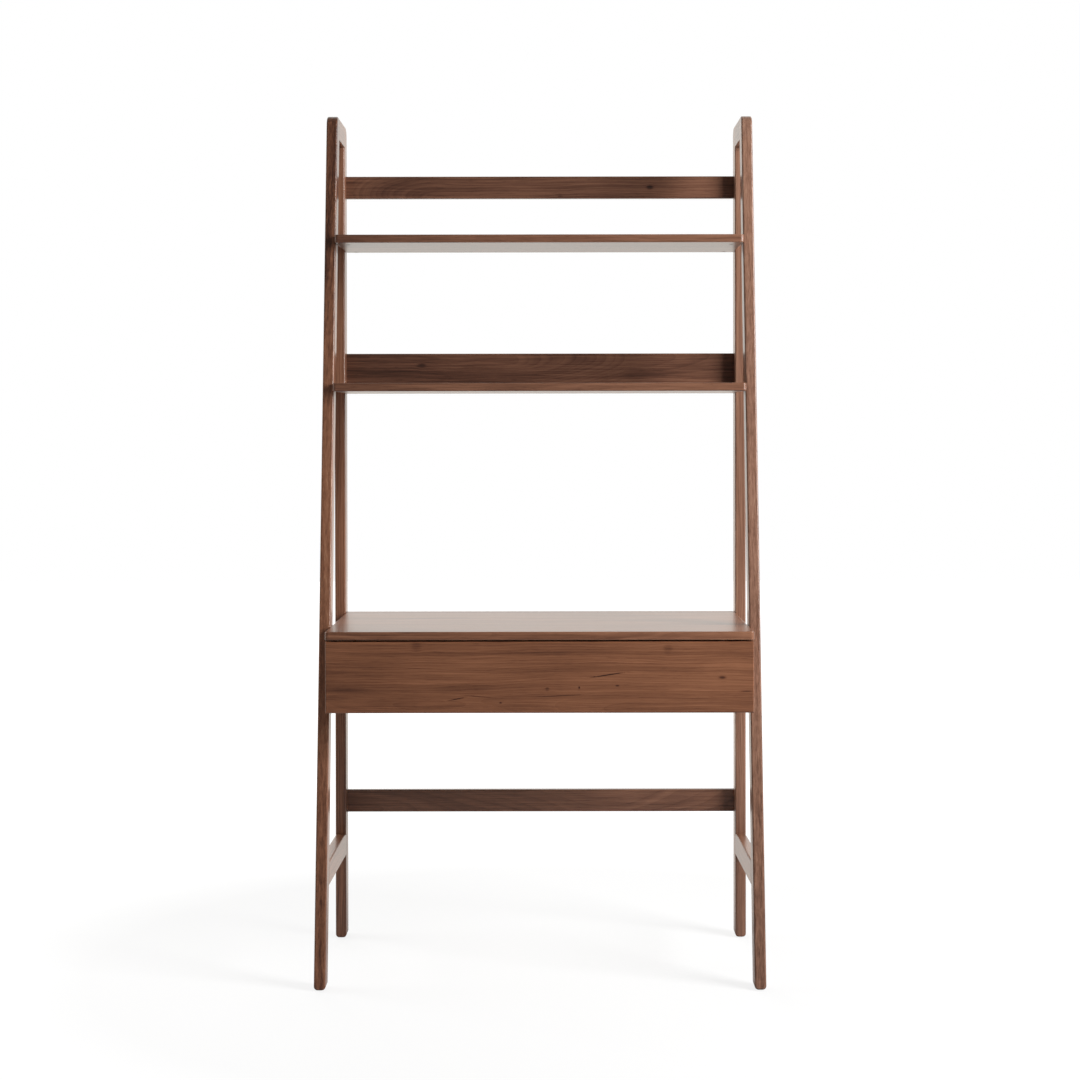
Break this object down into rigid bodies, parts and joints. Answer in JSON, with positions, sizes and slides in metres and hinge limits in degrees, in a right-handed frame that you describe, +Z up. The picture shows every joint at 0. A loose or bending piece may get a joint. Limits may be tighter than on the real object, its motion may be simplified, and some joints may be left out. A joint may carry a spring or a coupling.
{
  "type": "ladder desk with drawer and shelves",
  "caption": "Leaning-front ladder desk: closed side frames, back rails, shelves above a desktop, and a full-width drawer on ball slides.",
  "frame": {"origin": "on the floor, in the middle of the desk's width and depth", "axes": "+X to the sitter's right, +Y towards the wall, +Z up; the drawer opens towards -Y"},
  "size_m": [0.963, 0.533, 1.905],
  "materials": {
    "walnut": "satin lacquered walnut veneer and solid walnut",
    "pale_wood": "plain pale hardwood, thin lacquer",
    "plywood": "thin plywood, thin lacquer",
    "dowel_wood": "raw beech",
    "zinc_steel": "zinc plated",
    "slide_steel": "zinc plated sheet",
    "ball_steel": "polished",
    "nylon": "moulded nylon",
    "clear_rubber": "soft clear rubber"
  },
  "bodies": {
    "frame": {"bracket_screws": "zinc_steel", "corner_brackets": "zinc_steel", "desk_back": "walnut", "desk_bolts": "zinc_steel", "desk_dowels": "dowel_wood", "desk_inserts": "zinc_steel", "desk_side_left": "walnut", "desk_side_right": "walnut", "desktop": "walnut", "foot_glides": "nylon", "frame_dowels_left": "dowel_wood", "frame_dowels_right": "dowel_wood", "front_leg_left": "walnut", "front_leg_right": "walnut", "lower_back_rail": "walnut", "middle_back_panel": "walnut", "middle_shelf": "walnut", "rail_barrel_nuts": "zinc_steel", "rail_bolts": "zinc_steel", "rail_dowels": "dowel_wood", "rear_leg_left": "walnut", "rear_leg_right": "walnut", "shelf_barrel_nuts": "zinc_steel", "shelf_bolts": "zinc_steel", "side_stretcher_left": "walnut", "side_stretcher_right": "walnut", "slide_cabinet_member_left": "slide_steel", "slide_cabinet_member_right": "slide_steel", "slide_cabinet_screws": "zinc_steel", "top_rail_left": "walnut", "top_rail_right": "walnut", "upper_back_rail": "walnut", "upper_shelf": "walnut", "wall_hanger_left": "zinc_steel", "wall_hanger_right": "zinc_steel", "wall_hanger_screws": "zinc_steel"},
    "drawer": {"drawer_front": "walnut", "drawer_box_front": "pale_wood", "drawer_back": "pale_wood", "drawer_side_left": "pale_wood", "drawer_side_right": "pale_wood", "drawer_bottom": "plywood", "drawer_dowels": "dowel_wood", "drawer_face_screws": "zinc_steel", "drawer_bumpers": "clear_rubber", "slide_drawer_member_left": "slide_steel", "slide_drawer_member_right": "slide_steel", "slide_drawer_screws": "zinc_steel"},
    "middle_member_left": {"slide_middle_member_left": "slide_steel"},
    "outer_balls_left": {"slide_outer_balls_left": "ball_steel"},
    "inner_balls_left": {"slide_inner_balls_left": "ball_steel"},
    "middle_member_right": {"slide_middle_member_right": "slide_steel"},
    "outer_balls_right": {"slide_outer_balls_right": "ball_steel"},
    "inner_balls_right": {"slide_inner_balls_right": "ball_steel"}
  },
  "joints": [
    {"name": "drawer_slide", "type": "slide", "parent": "frame", "child": "drawer", "axis": [0, -1, 0], "range_m": [0, 0.4]},
    {"name": "middle_member_left_slide", "type": "slide", "parent": "frame", "child": "middle_member_left", "axis": [0, -1, 0], "range_m": [0, 0.2]},
    {"name": "outer_balls_left_slide", "type": "slide", "parent": "frame", "child": "outer_balls_left", "axis": [0, -1, 0], "range_m": [0, 0.1]},
    {"name": "inner_balls_left_slide", "type": "slide", "parent": "frame", "child": "inner_balls_left", "axis": [0, -1, 0], "range_m": [0, 0.3]},
    {"name": "middle_member_right_slide", "type": "slide", "parent": "frame", "child": "middle_member_right", "axis": [0, -1, 0], "range_m": [0, 0.2]},
    {"name": "outer_balls_right_slide", "type": "slide", "parent": "frame", "child": "outer_balls_right", "axis": [0, -1, 0], "range_m": [0, 0.1]},
    {"name": "inner_balls_right_slide", "type": "slide", "parent": "frame", "child": "inner_balls_right", "axis": [0, -1, 0], "range_m": [0, 0.3]}
  ],
  "couplings": [
    {"joint": "middle_member_left_slide", "follows": "drawer_slide", "ratio": 0.5},
    {"joint": "outer_balls_left_slide", "follows": "drawer_slide", "ratio": 0.25},
    {"joint": "inner_balls_left_slide", "follows": "drawer_slide", "ratio": 0.75},
    {"joint": "middle_member_right_slide", "follows": "drawer_slide", "ratio": 0.5},
    {"joint": "outer_balls_right_slide", "follows": "drawer_slide", "ratio": 0.25},
    {"joint": "inner_balls_right_slide", "follows": "drawer_slide", "ratio": 0.75}
  ]
}
